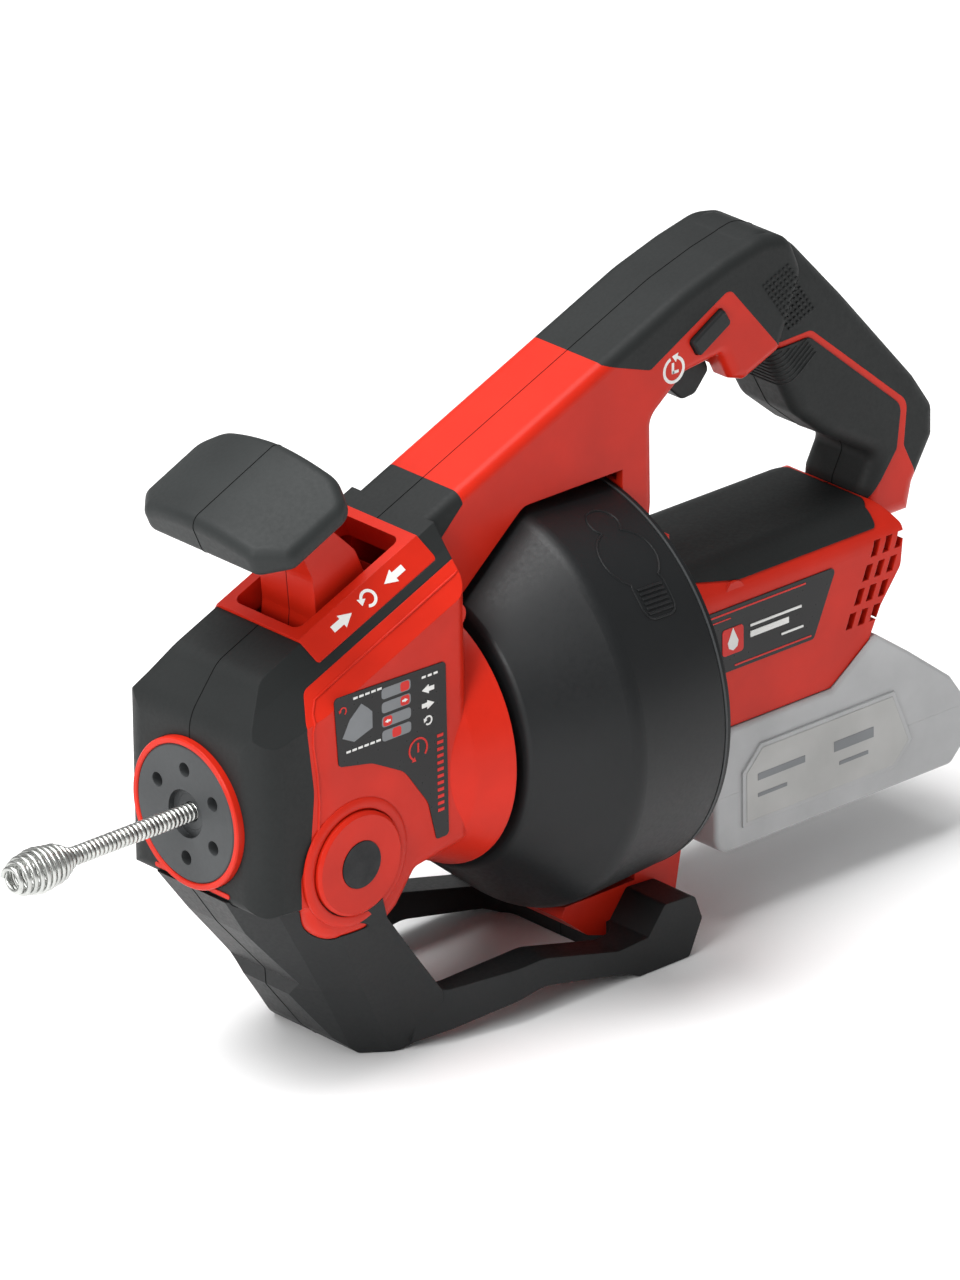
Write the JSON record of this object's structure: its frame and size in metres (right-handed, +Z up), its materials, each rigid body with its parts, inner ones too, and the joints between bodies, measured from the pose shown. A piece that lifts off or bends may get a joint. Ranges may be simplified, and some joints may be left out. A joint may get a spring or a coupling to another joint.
{
  "type": "cordless handheld drain snake",
  "caption": "Cordless drain snake with spinning cable drum, geared motor, trigger grip, feed lever, foot stand, slide-on battery and a bulb-tipped cable.",
  "frame": {"origin": "middle of the bounding box in X and Y, at the ground plane under the stand and the battery", "axes": "+X from the cable's tip toward the battery along the drum's axis, +Y to the tool's right, +Z up"},
  "size_m": [0.477, 0.1756, 0.2822],
  "materials": {
    "red_shell": "semi-gloss moulded plastic",
    "overmould": "matte soft-touch",
    "black_plastic": "fine texture",
    "drum_plastic": "satin fine texture",
    "paddle_plastic": "fine texture",
    "light_plastic": "satin",
    "nose_grey": "satin",
    "dark_steel": "blackened",
    "battery_plastic": "satin",
    "label_film": "satin film",
    "zinc_cable": "bright zinc",
    "steel": "machined",
    "gearcase": "die-cast",
    "board": "solder mask"
  },
  "bodies": {
    "frame": {"housing_left": "red_shell", "housing_right": "red_shell", "nose_cover_left": "overmould", "nose_cover_right": "overmould", "handle_cover_left": "overmould", "handle_cover_right": "overmould", "grip_pad_left": "overmould", "grip_pad_right": "overmould", "motor_cover": "overmould", "shift_gate": "red_shell", "switch_module": "black_plastic", "trigger_pin": "steel", "stand_left": "black_plastic", "stand_right": "black_plastic", "stand_bracket": "red_shell", "nose_plate": "nose_grey", "nose_ring": "red_shell", "guide_bush": "nose_grey", "feed_head": "black_plastic", "roller_pins": "steel", "front_bearing": "steel", "rear_bearing": "steel", "ring_gear": "steel", "gearbox_case": "gearcase", "motor_can": "steel", "control_board": "board", "function_label": "label_film", "motor_labels": "label_film", "housing_screws": "steel"},
    "lever": {"lever_left": "red_shell", "lever_right": "red_shell", "lever_shaft": "dark_steel", "pivot_disc_left": "red_shell", "pivot_disc_right": "red_shell", "paddle_left": "paddle_plastic", "paddle_right": "paddle_plastic"},
    "trigger": {"trigger": "black_plastic"},
    "direction": {"direction_bar": "black_plastic"},
    "drum": {"drum_shell": "drum_plastic", "drum_back": "drum_plastic", "drum_seal": "light_plastic", "drum_spindle": "steel", "drum_shaft": "steel", "cable_coil": "zinc_cable"},
    "plug": {"drum_plug": "drum_plastic"},
    "auger": {"auger_cable": "zinc_cable", "auger_bulb": "zinc_cable"},
    "rotor": {"motor_rotor": "steel", "sun_gear": "steel", "fan": "black_plastic"},
    "planet_1": {"planet_gear_1": "steel"},
    "planet_2": {"planet_gear_2": "steel"},
    "planet_3": {"planet_gear_3": "steel"},
    "roller_1": {"feed_roller_1": "steel"},
    "roller_2": {"feed_roller_2": "steel"},
    "roller_3": {"feed_roller_3": "steel"},
    "battery": {"battery_upper": "battery_plastic", "battery_lower": "battery_plastic", "battery_cells": "steel"},
    "latch": {"battery_latch": "battery_plastic"}
  },
  "joints": [
    {"name": "lever_tilt", "type": "hinge", "parent": "frame", "child": "lever", "pos_m": [-0.099, 0, 0.0945], "axis": [0, 1, 0], "range_deg": [-4, 5]},
    {"name": "trigger_pull", "type": "hinge", "parent": "frame", "child": "trigger", "pos_m": [0.0985, 0, 0.2365], "axis": [0, -1, 0], "range_deg": [0, 8], "stiffness_Nm_per_rad": 0.6, "springref_deg": -11.46},
    {"name": "direction_slide", "type": "slide", "parent": "frame", "child": "direction", "axis": [0, 1, 0], "range_m": [-0.0025, 0.0025]},
    {"name": "drum_spin", "type": "hinge", "parent": "frame", "child": "drum", "pos_m": [0.06, 0, 0.116], "axis": [1, 0, 0], "continuous": true},
    {"name": "plug_pull", "type": "slide", "parent": "drum", "child": "plug", "axis": [0, -0.6018, 0.7986], "range_m": [0, 0.05]},
    {"name": "cable_feed", "type": "slide", "parent": "drum", "child": "auger", "axis": [1, 0, 0], "range_m": [-0.05, 0]},
    {"name": "rotor_spin", "type": "hinge", "parent": "frame", "child": "rotor", "pos_m": [0.12, 0, 0.116], "axis": [1, 0, 0], "continuous": true},
    {"name": "planet_1_spin", "type": "hinge", "parent": "drum", "child": "planet_1", "pos_m": [0.0935, 0.01463, 0.116], "axis": [1, 0, 0], "continuous": true},
    {"name": "planet_2_spin", "type": "hinge", "parent": "drum", "child": "planet_2", "pos_m": [0.0935, -0.00731, 0.12867], "axis": [1, 0, 0], "continuous": true},
    {"name": "planet_3_spin", "type": "hinge", "parent": "drum", "child": "planet_3", "pos_m": [0.0935, -0.00731, 0.10333], "axis": [1, 0, 0], "continuous": true},
    {"name": "roller_1_spin", "type": "hinge", "parent": "frame", "child": "roller_1", "pos_m": [-0.126, 0, 0.1268], "axis": [1, 0, 0], "continuous": true},
    {"name": "roller_2_spin", "type": "hinge", "parent": "frame", "child": "roller_2", "pos_m": [-0.126, -0.00935, 0.1106], "axis": [1, 0, 0], "continuous": true},
    {"name": "roller_3_spin", "type": "hinge", "parent": "frame", "child": "roller_3", "pos_m": [-0.126, 0.00935, 0.1106], "axis": [1, 0, 0], "continuous": true},
    {"name": "battery_slide", "type": "slide", "parent": "frame", "child": "battery", "axis": [1, 0, 0], "range_m": [0, 0.14]},
    {"name": "latch_press", "type": "slide", "parent": "battery", "child": "latch", "axis": [-0.5, 0, -0.866], "range_m": [0, 0.002], "stiffness_N_per_m": 900, "springref_m": -0.001}
  ],
  "couplings": [
    {"joint": "rotor_spin", "follows": "drum_spin", "ratio": 4.3333},
    {"joint": "planet_1_spin", "follows": "drum_spin", "ratio": -2.8571},
    {"joint": "planet_2_spin", "follows": "drum_spin", "ratio": -2.8571},
    {"joint": "planet_3_spin", "follows": "drum_spin", "ratio": -2.8571},
    {"joint": "roller_1_spin", "follows": "drum_spin", "ratio": -0.61538},
    {"joint": "roller_2_spin", "follows": "drum_spin", "ratio": -0.61538},
    {"joint": "roller_3_spin", "follows": "drum_spin", "ratio": -0.61538}
  ]
}
